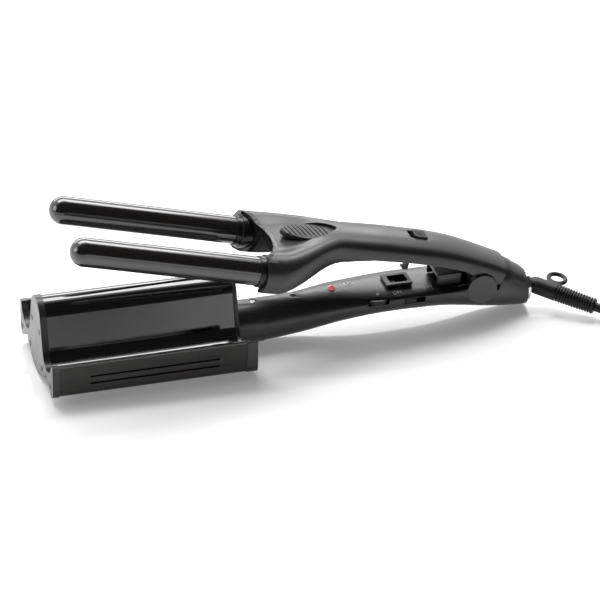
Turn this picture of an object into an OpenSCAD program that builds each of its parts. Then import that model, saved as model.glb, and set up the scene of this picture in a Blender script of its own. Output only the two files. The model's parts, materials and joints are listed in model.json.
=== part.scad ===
// Hair waver: a fixed lower jaw with a wave plate, and two heated barrels on a
// sprung upper arm that press the hair into its two troughs.
// Millimetres. The jaw frame has X to the rear, Z up from the plate's ridge and
// Y across. place() lays that frame on the table, zero under the front foot.

/* [Part] */
// Which sub-part to draw
// Smoothness of round surfaces
$fn = 64; // [48:16:96]

/* [Wave plate] */
// Length of the plate between the end caps
plate_len = 124.5; // [120:0.5:126]
// Distance from the middle plane to each trough
half_pitch = 29; // [28.5:0.25:29.5]
// Radius of the middle ridge
ridge_r = 12.5; // [12:0.25:13]
// Radius of the troughs
trough_r = 11.3; // [11:0.1:11.6]
// Depth of the troughs below the ridge
trough_drop = 37.9; // [37.5:0.1:38.3]
// Depth of the outer lips below the ridge
lip_drop = 26.2; // [25.8:0.1:26.6]
// Distance from the middle plane to the inside of each lip
lip_y = 44; // [43.5:0.1:44.4]
// Thickness of the pressed plate
plate_t = 1.2; // [1:0.1:1.4]

/* [Jaw casing] */
// Distance from the middle plane to the casing's side
side_y = 46.5; // [46.2:0.1:46.9]
// Wall of the casing
casing_t = 1.6; // [1.4:0.1:2]
// Radius of the keel under the ridge
keel_r = 35.9; // [35.7:0.1:36.1]
// Radius of the lobe under each trough
lobe_r = 4.5; // [4.2:0.1:4.8]
// Thickness of the front cap
cap_t = 4.5; // [4:0.1:5]
// How far the caps stand proud of the casing
cap_proud = 0.6; // [0.4:0.1:0.8]
// Length of the vent slots
vent_len = 86; // [80:1:90]
// Height of a vent slot
vent_h = 1.2; // [1:0.1:1.6]

/* [Barrels] */
// Radius of a heated barrel
barrel_r = 9.5; // [9.3:0.1:9.6]
// How far the barrel ends stand behind the front cap, arm closed
barrel_back = 7.3; // [7:0.1:9]
// Height of the barrel axes, arm closed
barrel_z = -26.4; // [-26.6:0.1:-26.2]
// Wall of a barrel
barrel_t = 1.1; // [1:0.1:1.3]
// Radius of the insulating collars
collar_r = 10.9; // [10.8:0.1:11.1]

/* [Arm] */
// Angle the arm stands open at rest
open_ang = 14.72; // [14:0.1:14.9]
// Hinge position along the jaw frame
pivot_x = 299.5; // [299:0.1:300]
// Hinge height in the jaw frame
pivot_z = -26.3; // [-26.5:0.1:-26.1]
// Radius of the hinge pin
pin_r = 2; // [1.8:0.1:2.2]
// Radial clearance of the arm on its pin
pin_gap = 0.05; // [0.03:0.01:0.08]
// Half width of the arm's grip
arm_w = 18.8; // [18.5:0.1:19]
// Wall of the arm's shell
arm_t = 2.4; // [2.2:0.1:2.6]

/* [Handle] */
// Half width of the lower handle
grip_w = 19.5; // [19.2:0.1:19.8]
// Radius of the neck behind the jaw
neck_r = 14.6; // [14.4:0.1:14.7]
// Wall of the handle
grip_t = 1.9; // [1.8:0.1:2.2]
// Radius of the hinge cheeks
cheek_r = 10.2; // [10:0.1:10.4]
// Radius of the temperature wheel
dial_r = 8.6; // [8.4:0.1:8.8]
// Travel of the on and off slider
power_travel = 5; // [4.5:0.1:5.2]
// Travel of the lock slider
lock_travel = 3; // [2.8:0.1:3.2]

/* [Cord] */
// Diameter of the mains cord
cord_d = 6.2; // [6:0.1:6.4]
// Sideways turn of the cord's swivel
swivel_yaw = 40; // [39:0.5:41]
// Length of the ribbed strain relief beyond the swivel
boot_len = 52; // [51:0.5:53]
// Mean diameter of the wound cord
coil_d = 78; // [74:1:80]

/* [Hidden] */
tilt = 0.43;
gap = 0.3;
bite = 0.03;
keel_cz = -17.4;
foot_drop = 1.1;
ground_h = keel_r - keel_cz + foot_drop;
plate_x1 = 129;
plate_x0 = plate_x1 - plate_len;
front_x = plate_x0 - cap_t;
foot_x = front_x + 11;
ref_x = foot_x * cos(tilt) - ground_h * sin(tilt);
barrel_x0 = front_x + barrel_back;
vent_x = plate_x0 + (plate_len - vent_len) / 2 + 1.25;
flange_t = 2.6;
collar_x0 = plate_x1 + flange_t + 0.4;
rear_x = plate_x1 + flange_t + 4.9;
seam_x = 151.4;
ridge_cz = -ridge_r;
trough_cz = trough_r - trough_drop;
lip_h = trough_drop - lip_drop;
lip_r = ((lip_y - half_pitch) * (lip_y - half_pitch) + lip_h * lip_h) / (2 * lip_h);
lip_cz = lip_r - trough_drop + bite;
flank_ang = atan2(trough_cz - ridge_cz, half_pitch)
  + acos((ridge_r + trough_r) / norm([half_pitch, trough_cz - ridge_cz]));
flank_n = [cos(flank_ang), sin(flank_ang)];
lobe_c = [side_y - lobe_r, -45.2];
lobe_ang = 34.6;
barrel_x1 = 146;
cheek_y = 15.2;
lug_y = 14.1;
lug_r = 6.8;
ring_x = 335.5;
ring_z = -38.6;
ring_r = 10.4;
tail_z = -39.6;
tail_r = 11.6;
ball = [335.6, 0, -35];
ball_dip = 8.5;
boot_r = 5.9;
boot_x0 = 5.5;
dial_c = [227.3, -11.2];
dial_z = -26.4;
socket_x = 244.2;
lock_x = 247.7;
lock_len = 9.3;
hook_x = 247.8;
socket_z = -20.5;
deck_z = -22.3;
neck_z = -37.8;

// ---- frames -----------------------------------------------------------
// Jaw frame onto the table.
module place() {
  translate([-ref_x, 0, ground_h])
    rotate([0, tilt, 0])
      children();
}

// Turns the closed arm about its hinge.
module swing(a) {
  translate([pivot_x, 0, pivot_z])
    rotate([0, a, 0])
      translate([-pivot_x, 0, -pivot_z])
        children();
}

module in_arm() {
  place()
    swing(open_ang)
      children();
}

// A (y, z) outline drawn along X.
module along_x(x0, x1) {
  translate([x0, 0, 0])
    rotate([90, 0, 90])
      linear_extrude(x1 - x0)
        children();
}

// An (x, z) outline drawn across Y.
module across_y(y0, y1) {
  translate([0, y1, 0])
    rotate([90, 0, 0])
      linear_extrude(y1 - y0)
        children();
}

module rod_x(x0, x1, r) {
  translate([x0, 0, 0])
    rotate([0, 90, 0])
      cylinder(h = x1 - x0, r = r);
}

module rod_y(y0, y1, r) {
  translate([0, y1, 0])
    rotate([90, 0, 0])
      cylinder(h = y1 - y0, r = r);
}

module both_sides() {
  children();
  mirror([0, 1, 0])
    children();
}

module above_ground() {
  intersection() {
    children();
    translate([-100, -150, 0])
      cube([600, 300, 200]);
  }
}

// ---- the wave outline ---------------------------------------------------
function ridge_tangent(g) = [0, ridge_cz] + (ridge_r - g - bite) * flank_n;
function trough_tangent(g) = [half_pitch, trough_cz] - (trough_r + g - bite) * flank_n;

// Open space over one half of the wave, lowered by g.
module half_air(g) {
  difference() {
    union() {
      translate([half_pitch, trough_cz])
        circle(r = trough_r + g);
      intersection() {
        translate([half_pitch, lip_cz])
          circle(r = lip_r + g);
        translate([half_pitch, -100])
          square([60, 200]);
      }
      polygon([[0, 60], [0, ridge_cz], ridge_tangent(g), trough_tangent(g),
        [half_pitch, trough_cz], [half_pitch, -lip_drop], [70, -lip_drop], [70, 60]]);
    }
    translate([0, ridge_cz])
      circle(r = ridge_r - g);
  }
}

module wave_air(g) {
  half_air(g);
  mirror([1, 0])
    half_air(g);
}

// Closed outline of keel and lobes, grown by o, up to the ridge.
module half_casing(o) {
  l = lobe_c + (lobe_r + o - bite) * [-sin(lobe_ang), -cos(lobe_ang)];
  a = l + 20 * [-cos(lobe_ang), sin(lobe_ang)];
  polygon([[0, 5], [0, keel_cz], a, l, lobe_c, [side_y + o - bite, lobe_c[1]],
    [side_y + o - bite, 5]]);
  translate(lobe_c)
    circle(r = lobe_r + o);
}

module casing_2d(o) {
  half_casing(o);
  mirror([1, 0])
    half_casing(o);
  translate([0, keel_cz])
    circle(r = keel_r + o);
}

// ---- lofts ----------------------------------------------------------------
function soft(t, x) = (lookup(x - 7, t) + 2 * lookup(x, t) + lookup(x + 7, t)) / 4;
function sgn_pow(v, e) = sign(v) * pow(abs(v), e);
function ramp(x, a, b) = let (t = min(1, max(0, (x - a) / (b - a)))) t * t * (3 - 2 * t);

module loft(rings) {
  n = len(rings[0]);
  m = len(rings);
  polyhedron(
    points = [for (r = rings) each r],
    faces = concat(
      [[for (i = [0 : n - 1]) i]],
      [[for (i = [n - 1 : -1 : 0]) (m - 1) * n + i]],
      [for (j = [0 : m - 2], i = [0 : n - 1]) [j * n + i, (j + 1) * n + i, (j + 1) * n + (i + 1) % n]],
      [for (j = [0 : m - 2], i = [0 : n - 1]) [j * n + i, (j + 1) * n + (i + 1) % n, j * n + (i + 1) % n]]));
}

// Lower handle: width, middle height, rise and depth along X.
grip_a = [[seam_x, neck_r], [172, neck_r], [199, 17.6], [222, grip_w - 0.4], [243, grip_w],
  [288, grip_w], [301, grip_w - 0.4], [312, 17.8], [320, 16.4], [331, 13], [ring_x, tail_r]];
grip_z = [[seam_x, -37.6], [172, -36.9], [186, -34.3], [199, -31.2], [222, -27.4], [243, -25.4],
  [288, -26], [301, -28], [320, -31.4], [331, -36.6], [ring_x, tail_z]];
grip_up = [[seam_x, neck_r], [172, 13.6], [199, 9.8], [222, 5.2], [243, 2.6], [280, 2.4],
  [301, 9], [312, 16.2], [320, 18], [331, 15], [ring_x, tail_r]];
grip_dn = [[seam_x, neck_r], [172, 12.6], [199, 11.8], [222, 12.9], [243, 14.4], [272, 14.6],
  [288, 17], [301, 17.5], [320, 18.2], [331, 14.6], [ring_x, tail_r]];

function grip_ring(x, o, n) = [for (i = [0 : n - 1])
  let (c = cos(360 * i / n), s = sin(360 * i / n), e = 1 - 0.14 * ramp(x, seam_x, 200) * (1 - ramp(x, 300, 330)))
  [x, (soft(grip_a, x) - o) * sgn_pow(c, e),
    soft(grip_z, x) + ((s > 0 ? soft(grip_up, x) : soft(grip_dn, x)) - o) * sgn_pow(s, e)]];

module grip(x0, x1, o, m) {
  loft([for (j = [0 : m]) grip_ring(x0 + (x1 - x0) * j / m, o, 28)]);
}

// Upper arm, closed: width, middle height and rise along X.
arm_a = [[198, 18.2], [222, arm_w], [262, arm_w], [280, 18.4], [307, 17], [320, 16]];
arm_z = [[198, -13], [222, -12.4], [262, -12.2], [280, -13.2], [307, -18], [320, -21.5]];
arm_up = [[198, 10.8], [222, 11.4], [262, 11.5], [280, 11], [307, 10.8], [320, 10.8]];
arm_x0 = 138;
socket_r = 13.8;
prong_w = half_pitch + socket_r;
web_top = -16;
web_low = -21.4;

function prong(u) = sqrt(max(0, socket_r * socket_r - pow(abs(u) * prong_w - half_pitch, 2)));
function front_top(u) = abs(u) * prong_w < half_pitch ? max(barrel_z + prong(u), web_top)
  : barrel_z + prong(u);
function front_low(u) = abs(u) * prong_w < half_pitch - socket_r + 0.4 ? web_low
  : barrel_z - prong(u);
function arm_ring(x, n) = let (w = ramp(x, 147, 200), q = ramp(x, 143, 196),
  a = prong_w + (soft(arm_a, x) - prong_w) * w)
  [for (i = [0 : n - 1])
    let (t = 90 + 360 * i / n, c = cos(t), s = sin(t), u = sgn_pow(c, 0.84), v = sgn_pow(s, 0.62))
    [x, a * u, s > 0.001
      ? front_top(u) * (1 - q) + (soft(arm_z, x) + soft(arm_up, x) * v) * q
      : s < -0.001 ? front_low(u) * (1 - w) + (soft(arm_z, x) + 9 * v) * w
      : barrel_z * (1 - w) + soft(arm_z, x) * w]];

module arm_solid(x0, x1) {
  xs = concat([for (x = [x0 : 6 : 204]) x], [for (x = [212 : 12 : x1]) x], [x1]);
  loft([for (x = xs) arm_ring(x, 44)]);
}

// Space inside the arm's grip, open below.
module arm_cavity() {
  loft([for (x = [170 : 12 : 314])
    let (w = ramp(x, 143, 196), t = web_top * (1 - w) + (soft(arm_z, x) + soft(arm_up, x)) * w - arm_t,
      a = min(soft(arm_a, x) - arm_t, 12 + (x - 170) / 4))
    [for (i = [0 : 15])
      let (c = cos(360 * i / 16), s = sin(360 * i / 16))
      [x, a * sgn_pow(c, 0.8), s > 0.001 ? -14.5 + (t + 14.5) * sgn_pow(s, 0.8)
        : s < -0.001 ? -50 : -14.5]]]);
}

// Where the lower handle needs room under the arm.
module handle_room() {
  translate([0, 0, -38.2])
    rod_x(130, 176, neck_r + 1.4);
  translate([174, -19.5, -60])
    cube([42, 39, 39.6]);
}

// Everything below the arm's rim line.
module rim_air() {
  across_y(-60, 60)
    polygon([[198, -60], [198, -19.6], [205, -17], [218, -14.6], [240, -13.4], [264, -13.4],
      [284, -15.2], [289, -17], [311, -23.6], [330, -23.6], [330, -60]]);
}

// Seam between the open arm and the rear cover, drawn in the jaw frame.
module behind_seam(d) {
  across_y(-60, 60)
    polygon([[311.6 + d, -60], [311.6 + d, -28.6], [319.9 + d, -13.9], [330 + d, 4], [400, 4],
      [400, -60]]);
}

module around_barrels() {
  for (s = [-1, 1])
    translate([0, s * half_pitch, barrel_z])
      children();
}

// ---- lower jaw --------------------------------------------------------------
module wave_plate() {
  color([0.04, 0.04, 0.045])
    place()
      along_x(plate_x0, plate_x1)
        intersection() {
          difference() {
            wave_air(plate_t);
            wave_air(0);
          }
          translate([-side_y, -60])
            square([2 * side_y, 70]);
        }
}

module jaw_casing() {
  color([0.13, 0.12, 0.12])
    difference() {
      place()
        difference() {
          along_x(plate_x0, plate_x1)
            difference() {
              casing_2d(0);
              casing_2d(-casing_t);
              wave_air(plate_t);
            }
          for (z = [-36, -41])
            translate([vent_x, -60, z - vent_h / 2])
              cube([vent_len, 120, vent_h]);
        }
      foot_pad();
    }
}

module front_cap() {
  color([0.2, 0.2, 0.21])
    above_ground()
      place()
        difference() {
          along_x(front_x, plate_x0)
            difference() {
              casing_2d(cap_proud);
              wave_air(-cap_proud);
            }
          along_x(plate_x0 - 1.6, plate_x0 + 1)
            difference() {
              casing_2d(-casing_t);
              wave_air(plate_t);
            }
          screw_spots()
            rod_x(-1, cap_t + 1, 1.1);
          screw_spots()
            rod_x(-1, 1.2, 2);
        }
}

module screw_spots() {
  for (p = [[-10, -20], [10, -20], [-17, -43], [17, -43], [-40, -43], [40, -43]])
    translate([front_x, p[0], p[1]])
      children();
}

module cap_screws() {
  color([0.35, 0.35, 0.36])
    place()
      screw_spots() {
        difference() {
          rod_x(0.2, 1.2, 1.9);
          translate([-0.5, -0.3, -1.2])
            cube([1.2, 0.6, 2.4]);
        }
        rod_x(1.2, 9, 1.1);
      }
}

module rear_cap() {
  color([0.13, 0.12, 0.12])
    above_ground()
      place()
        difference() {
          union() {
            along_x(plate_x1, plate_x1 + flange_t)
              difference() {
                casing_2d(cap_proud);
                wave_air(-cap_proud);
              }
            along_x(plate_x1 + flange_t, rear_x)
              difference() {
                casing_2d(cap_proud);
                wave_air(2.4);
                translate([-25, -80])
                  square([50, 90]);
              }
          }
          translate([0, 0, neck_z])
            rod_x(plate_x1 - 1, rear_x + 1, neck_r - 2.4);
        }
}

module plate_carrier() {
  color([0.7, 0.7, 0.72])
    place()
      difference() {
        along_x(plate_x0 + 7.5, plate_x1 - 7)
          intersection() {
            translate([0, ridge_cz])
              circle(r = ridge_r - plate_t);
            translate([-10, -12])
              square([20, 12]);
          }
        translate([plate_x0 + 5.5, -7, -13])
          cube([plate_len - 10.5, 14, 4]);
      }
}

module plate_heater() {
  color([0.85, 0.8, 0.7])
    place()
      translate([plate_x0 + 11.5, -6.5, -12])
        cube([plate_len - 24.5, 13, 3]);
}

module thermal_fuse() {
  color([0.8, 0.75, 0.6])
    place()
      translate([0, 0, -14.2])
        rod_x(plate_x0 + 55.5, plate_x0 + 67.5, 2.2);
}

module rest_foot() {
  color([0.05, 0.05, 0.05])
    foot_pad();
}

module foot_pad() {
  translate([-5, -7, 0])
    cube([10, 14, 1.5]);
}

module neck() {
  color([0.1, 0.1, 0.1])
    above_ground()
      place()
        difference() {
          translate([0, 0, neck_z])
            rod_x(plate_x1 + flange_t, seam_x, neck_r);
          translate([0, 0, neck_z])
            rod_x(plate_x1, seam_x + 1, neck_r - 2.4);
          translate([145.8, 0, -30])
            cylinder(h = 20, r = 1.25);
          translate([145.8, 0, -24.5])
            cylinder(h = 5, r = 2.3);
        }
}

module neck_screws() {
  color([0.75, 0.75, 0.76])
    place() {
      translate([145.8, 0, -30])
        cylinder(h = 5.5, r = 1.2);
      translate([145.8, 0, -24.5])
        cylinder(h = 1.1, r = 2.2);
      translate([173.5, 0, -31])
        cylinder(h = 6.4, r = 1.2);
      translate([173.5, 0, -24.6])
        cylinder(h = 0.8, r = 2);
    }
}

// ---- lower handle ---------------------------------------------------------
// Below the seam of tray and cover.
module below_split() {
  across_y(-60, 60)
    polygon([[140, -37.6], [172, -37], [186, -34.4], [200, -31.2], [222, -27.2], [243, -25.2],
      [288, -25], [290, -25], [290, -80], [140, -80]]);
}

module handle_tray() {
  color([0.1, 0.1, 0.1])
    place()
      difference() {
        intersection() {
          grip(seam_x, 288, 0, 17);
          below_split();
        }
        grip(seam_x - 1, 290, grip_t, 13);
        side_slots();
      }
}

module side_slots() {
  translate([dial_c[0], dial_c[1], dial_z - 1.9])
    cylinder(h = 3.8, r = dial_r + gap);
  translate([dial_c[0] - 7.2, -24, dial_z - 1.9])
    cube([14.4, 14, 3.8]);
  translate([245.2, -24, -29.7])
    cube([14.4, 12, 3.9]);
}

module handle_cover() {
  color([0.1, 0.1, 0.1])
    place()
      difference() {
        grip(seam_x, 268, 0, 15);
        grip(seam_x - 1, 266, grip_t, 13);
        below_split();
        side_slots();
        translate([socket_x - 7.1, -6, -30])
          cube([17, 12, 12]);
        translate([200.2, 0, -30])
          cylinder(h = 20, r = 2.6);
        translate([173.5, 0, -24.6])
          cylinder(h = 10, r = 2.1);
        translate([173.5, 0, -30])
          cylinder(h = 10, r = 1.25);
      }
}

module latch_socket() {
  color([0.1, 0.1, 0.1])
    place()
      difference() {
        union() {
          translate([socket_x - 7.9, -7.2, deck_z])
            cube([18, 14.4, socket_z - deck_z]);
          translate([socket_x - 7, -5.9, -29.5])
            cube([16.8, 11.8, 7.3]);
        }
        translate([socket_x - 4.6, -4.7, -22.9])
          cube([10.6, 9.4, 12]);
        translate([hook_x - lock_travel - gap, -4.7, -28.5])
          cube([lock_travel + 4.3, 9.4, 12]);
        translate([socket_x - 4.6, -4.7, -28.5])
          cube([10.6, 9.4, 4.4]);
      }
}

module led_lamp() {
  color([0.9, 0.3, 0.35])
    place() {
      translate([200.2, 0, -26])
        cylinder(h = 4.2, r = 2.5);
      translate([200.2, 0, -21.8])
        sphere(r = 2.5);
    }
}

module circuit_board() {
  color([0.1, 0.3, 0.15])
    place()
      difference() {
        translate([188, -12, -35])
          cube([76, 24, 1.6]);
        translate([dial_c[0], dial_c[1], -40])
          cylinder(h = 10, r = 2.05);
      }
}

module power_switch() {
  color([0.2, 0.2, 0.22])
    place()
      translate([245, -10.9, -33.4])
        cube([15, 5, 8]);
}

module power_slider() {
  color([0.14, 0.14, 0.14])
    place() {
      translate([246, -19, -29.3])
        cube([7.6, 7.8, 3.1]);
      for (i = [0 : 3])
        translate([246.5 + i * 1.9, -19.6, -29.1])
          cube([0.9, 1, 2.7]);
    }
}

module dial_axle() {
  color([0.6, 0.6, 0.6])
    place()
      translate([dial_c[0], dial_c[1], -34.8])
        cylinder(h = 10.2, r = 2);
}

module temp_dial() {
  color([0.06, 0.06, 0.06])
    place()
      translate([dial_c[0], dial_c[1], dial_z - 1.5])
        difference() {
          cylinder(h = 3, r = dial_r);
          translate([0, 0, -1])
            cylinder(h = 6, r = 2.05);
          for (i = [0 : 23])
            rotate([0, 0, i * 15])
              translate([dial_r, 0, -1])
                cylinder(h = 6, r = 0.35);
        }
}

// ---- rear end and hinge -----------------------------------------------------
module below_rear_line(d) {
  across_y(-60, 60)
    polygon([[280, -25 - d], [292, -25 - d], [309, -28.6 - d], [336, -38.4 - d], [342, -60], [280, -60]]);
}

module tail_hollow() {
  intersection() {
    grip(284, 334, 2.2, 12);
    translate([280, -40, -60])
      cube([52, 80, 60]);
  }
}

module rear_housing() {
  color([0.1, 0.1, 0.1])
    above_ground()
      place()
        difference() {
          union() {
            difference() {
              intersection() {
                grip(288, ring_x, 0, 12);
                below_rear_line(0);
              }
              tail_hollow();
            }
            both_sides()
              translate([pivot_x, 0, pivot_z])
                rod_y(cheek_y, grip_w, cheek_r);
            intersection() {
              grip(286, 314, 1, 6);
              both_sides()
                translate([pivot_x - 7, cheek_y, -44])
                  cube([14, 2.4, 18]);
            }
          }
          translate([pivot_x, 0, pivot_z])
            rod_y(-18, 18, pin_r);
          translate([0, 0, ring_z])
            rod_x(328, 340, 9.6);
        }
}

module hinge_block() {
  color([0.1, 0.1, 0.1])
    place()
      difference() {
        translate([270, -11, -25 + gap])
          cube([17.7, 22, 9]);
        translate([268, -9, -30])
          cube([17.7, 18, 12.3]);
      }
}

module rear_cover() {
  color([0.1, 0.1, 0.1])
    place()
      difference() {
        intersection() {
          grip(300, ring_x, 0, 10);
          behind_seam(gap);
        }
        below_rear_line(0);
        tail_hollow();
        translate([pivot_x, 0, pivot_z])
          rod_y(-60, 60, cheek_r);
        translate([0, 0, ring_z])
          rod_x(328, 340, 9.6);
      }
}

module chrome_ring() {
  color([0.85, 0.85, 0.87])
    above_ground()
      place()
        translate([0, 0, ring_z])
          difference() {
            rod_x(ring_x, ring_x + 2.6, ring_r);
            rod_x(ring_x - 1, ring_x + 4, 9.6);
          }
}

module hinge_pin() {
  color([0.7, 0.7, 0.72])
    place()
      translate([pivot_x, 0, pivot_z])
        rod_y(-18, 18, pin_r);
}

module arm_spring() {
  color([0.55, 0.56, 0.58])
    place()
      translate([pivot_x, 0, pivot_z]) {
        for (i = [-2 : 2])
          translate([0, i * 1.25, 0])
            rotate([90, 0, 0])
              rotate_extrude()
                translate([3.6, 0])
                  circle(r = 0.7, $fn = 24);
        translate([0, -2.5, -3.6])
          rotate([0, -100, 0])
            cylinder(h = 11, r = 0.6);
        translate([0, 2.5, 3.6])
          rotate([0, -80, 0])
            cylinder(h = 8, r = 0.6);
      }
}

// ---- upper arm -----------------------------------------------------------------
module front_cut(r) {
  translate([101.6, 0, -70])
    cylinder(h = 90, r = r, $fn = 96);
}

module arm_shell() {
  color([0.11, 0.11, 0.115])
    in_arm()
      difference() {
        arm_solid(arm_x0, 318);
        arm_cavity();
        front_cut(51);
        handle_room();
        rim_air();
        swing(-open_ang)
          behind_seam(0);
        both_sides()
          translate([pivot_x, 0, pivot_z])
            rod_y(cheek_y - gap, 40, cheek_r + 0.5);
        around_barrels()
          rod_x(arm_x0 - 1, 152, collar_r);
        for (s = [-1, 1])
          wire_way(s);
        lock_slot();
        pad_bed();
      }
}

// Passage for the wires from a barrel to the grip.
module wire_way(s) {
  translate([150, s * half_pitch, barrel_z])
    rotate([0, 0, -s * 34])
      rotate([0, 66, 0])
        cylinder(h = 44, r = 3);
}

module yoke_face() {
  color([0.03, 0.03, 0.03])
    in_arm()
      difference() {
        intersection() {
          arm_solid(arm_x0, 156);
          front_cut(51);
        }
        front_cut(48);
        handle_room();
        around_barrels()
          rod_x(arm_x0 - 1, 160, collar_r);
      }
}

module lock_slot() {
  intersection() {
    translate([lock_x - lock_travel - gap, -5.1 - gap, -3.6])
      cube([lock_len + lock_travel + 2 * gap, 10.2 + 2 * gap, 12]);
    translate([lock_x + (lock_len - lock_travel) / 2, 0, -10])
      cylinder(h = 20, r = 7.7);
  }
}

module on_pad() {
  translate([174.3, 0, -9.4])
    rotate([0, -6.2, 0])
      children();
}

module pad_bed() {
  on_pad()
    pad_oval(0.05);
}

module pad_oval(o) {
  intersection() {
    translate([0, -13.65, 0])
      cylinder(h = 20, r = 24.05 + o, $fn = 192);
    translate([0, 13.65, 0])
      cylinder(h = 20, r = 24.05 + o, $fn = 192);
    translate([-19 - o, -20, 0])
      cube([38 + 2 * o, 40, 20]);
  }
}

module thumb_pad() {
  color([0.08, 0.08, 0.08])
    in_arm()
      on_pad()
        intersection() {
          pad_oval(0);
          difference() {
            translate([0, 0, -47])
              rod_x(-30, 30, 50, $fn = 288);
            for (i = [-5 : 5])
              translate([i * 3.2 - 1, -22, 2.1])
                rotate([0, 0, 12])
                  cube([1, 44, 4]);
          }
        }
}

module arm_liner() {
  color([0.07, 0.07, 0.07])
    in_arm()
      difference() {
        union() {
          translate([188, -13.6, -13.4])
            cube([100, 27.2, 1.8]);
          both_sides()
            translate([206, 12.8, -13.4])
              cube([76, 1.6, 3.6]);
          both_sides()
            translate([pivot_x - 6, 6, -25.8])
              cube([12, lug_y - 6, 11.8]);
          both_sides()
            translate([pivot_x, 0, pivot_z])
              rod_y(6, lug_y, lug_r);
          translate([286, -12.6, -14.4])
            cube([15, 25.2, 2]);
        }
        translate([pivot_x, 0, pivot_z])
          rod_y(-20, 20, pin_r + pin_gap);
        translate([hook_x - lock_travel - 0.5, -3.2, -20])
          cube([3.4 + lock_travel, 6.4, 12]);
        for (x = [214, 272])
          translate([x, 0, -15])
            cylinder(h = 6, r = 1.25);
      }
}

module barrel() {
  translate([0, 0, barrel_z])
    difference() {
      union() {
        rod_x(barrel_x0 + barrel_r, barrel_x1, barrel_r);
        translate([barrel_x0 + barrel_r, 0, 0])
          sphere(r = barrel_r);
      }
      rod_x(barrel_x0 + barrel_r, barrel_x1 + 1, barrel_r - barrel_t);
      translate([barrel_x0 + barrel_r, 0, 0])
        sphere(r = barrel_r - barrel_t);
    }
}

module near_barrel() {
  color([0.04, 0.04, 0.045])
    in_arm()
      translate([0, -half_pitch, 0])
        barrel();
}

module far_barrel() {
  color([0.04, 0.04, 0.045])
    in_arm()
      translate([0, half_pitch, 0])
        barrel();
}

module collar() {
  translate([0, 0, barrel_z])
    difference() {
      union() {
        rod_x(collar_x0, collar_x0 + 1.6, collar_r);
        rod_x(collar_x0 + 1.6, collar_x0 + 2.8, collar_r - 0.7);
        rod_x(collar_x0 + 2.8, collar_x0 + 4.6, collar_r + 0.6);
        rod_x(collar_x0 + 4.6, barrel_x1 + 2, collar_r);
      }
      rod_x(collar_x0 - 1, barrel_x1 + 4, barrel_r);
    }
}

module near_collar() {
  color([0.12, 0.12, 0.12])
    in_arm()
      translate([0, -half_pitch, 0])
        collar();
}

module far_collar() {
  color([0.12, 0.12, 0.12])
    in_arm()
      translate([0, half_pitch, 0])
        collar();
}

module core() {
  translate([0, 0, barrel_z])
    rod_x(barrel_x0 + 16.7, collar_x0 - 14, barrel_r - barrel_t);
}

module near_heater() {
  color([0.85, 0.8, 0.7])
    in_arm()
      translate([0, -half_pitch, 0])
        core();
}

module far_heater() {
  color([0.85, 0.8, 0.7])
    in_arm()
      translate([0, half_pitch, 0])
        core();
}

module arm_screws() {
  color([0.35, 0.35, 0.36])
    in_arm()
      for (x = [214, 272]) {
        translate([x, 0, -14.4])
          cylinder(h = 1, r = 2.2);
        translate([x, 0, -13.4])
          cylinder(h = 7, r = 1.2);
      }
}

module lock_slider() {
  color([0.06, 0.06, 0.06])
    in_arm() {
      intersection() {
        translate([lock_x, -5.1, -3.2])
          cube([lock_len, 10.2, 3.6]);
        translate([lock_x + lock_len / 2, 0, -10])
          cylinder(h = 20, r = 6.2);
      }
      translate([hook_x, -2.6, -25.9])
        cube([2.4, 5.2, 22.9]);
      translate([hook_x - 1.6, -2.6, -25.9])
        cube([4, 5.2, 1.4]);
    }
}

// ---- cord ----------------------------------------------------------------------
module in_swivel() {
  place()
    translate(ball)
      rotate([0, ball_dip, -swivel_yaw])
        children();
}

module cord_swivel() {
  color([0.06, 0.06, 0.06])
    in_swivel()
      difference() {
        union() {
          sphere(r = 5.6);
          rod_x(3, 9, boot_r - 1.3);
        }
        rod_x(-10, 12, cord_d / 2 + 0.3);
      }
}

module cord_boot() {
  color([0.06, 0.06, 0.06])
    in_swivel()
      difference() {
        rod_x(9, boot_len, boot_r);
        rod_x(8, boot_len + 1, cord_d / 2 + gap);
        for (i = [0 : 11])
          translate([24.5 + i * 2.2, 0, 0])
            difference() {
              rod_x(0, 1, boot_r + 1);
              rod_x(-1, 2, boot_r - 1.1);
            }
      }
}

module hang_loop() {
  color([0.06, 0.06, 0.06])
    in_swivel()
      translate([0, 0, 2.4])
        difference() {
          union() {
            translate([19.5, 13, 0])
              cylinder(h = 3, r = 7.4, center = true);
            translate([14, 3, -1.5])
              cube([11, 5.4, 3]);
          }
          translate([19.5, 13, -5])
            cylinder(h = 10, r = 4);
          rod_x(8, 30, boot_r);
        }
}

function to_row(p) = [p[0] * cos(tilt) + p[2] * sin(tilt) - ref_x, p[1],
  p[2] * cos(tilt) - p[0] * sin(tilt) + ground_h];
boot_dir = [cos(ball_dip) * cos(swivel_yaw), -cos(ball_dip) * sin(swivel_yaw), -sin(ball_dip)];
function boot_at(d) = to_row(ball + d * boot_dir);
cord_r = cord_d / 2;
cord_up = cord_r + 0.05;
cord_p = boot_at(boot_len - 1.5);
cord_run = 52;
lead_way = [cos(swivel_yaw), -sin(swivel_yaw), 0];
lead_side = [sin(swivel_yaw), cos(swivel_yaw), 0];
coil_w = 4 * cord_d;
coil_h = 2 * cord_d + 0.1;
coil_r = coil_d / 2 + 1.5 * cord_d;
coil_in = [cord_p[0], cord_p[1], cord_up] + cord_run * lead_way;
coil_c = [coil_in[0], coil_in[1], 0] + coil_r * lead_side;

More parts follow.
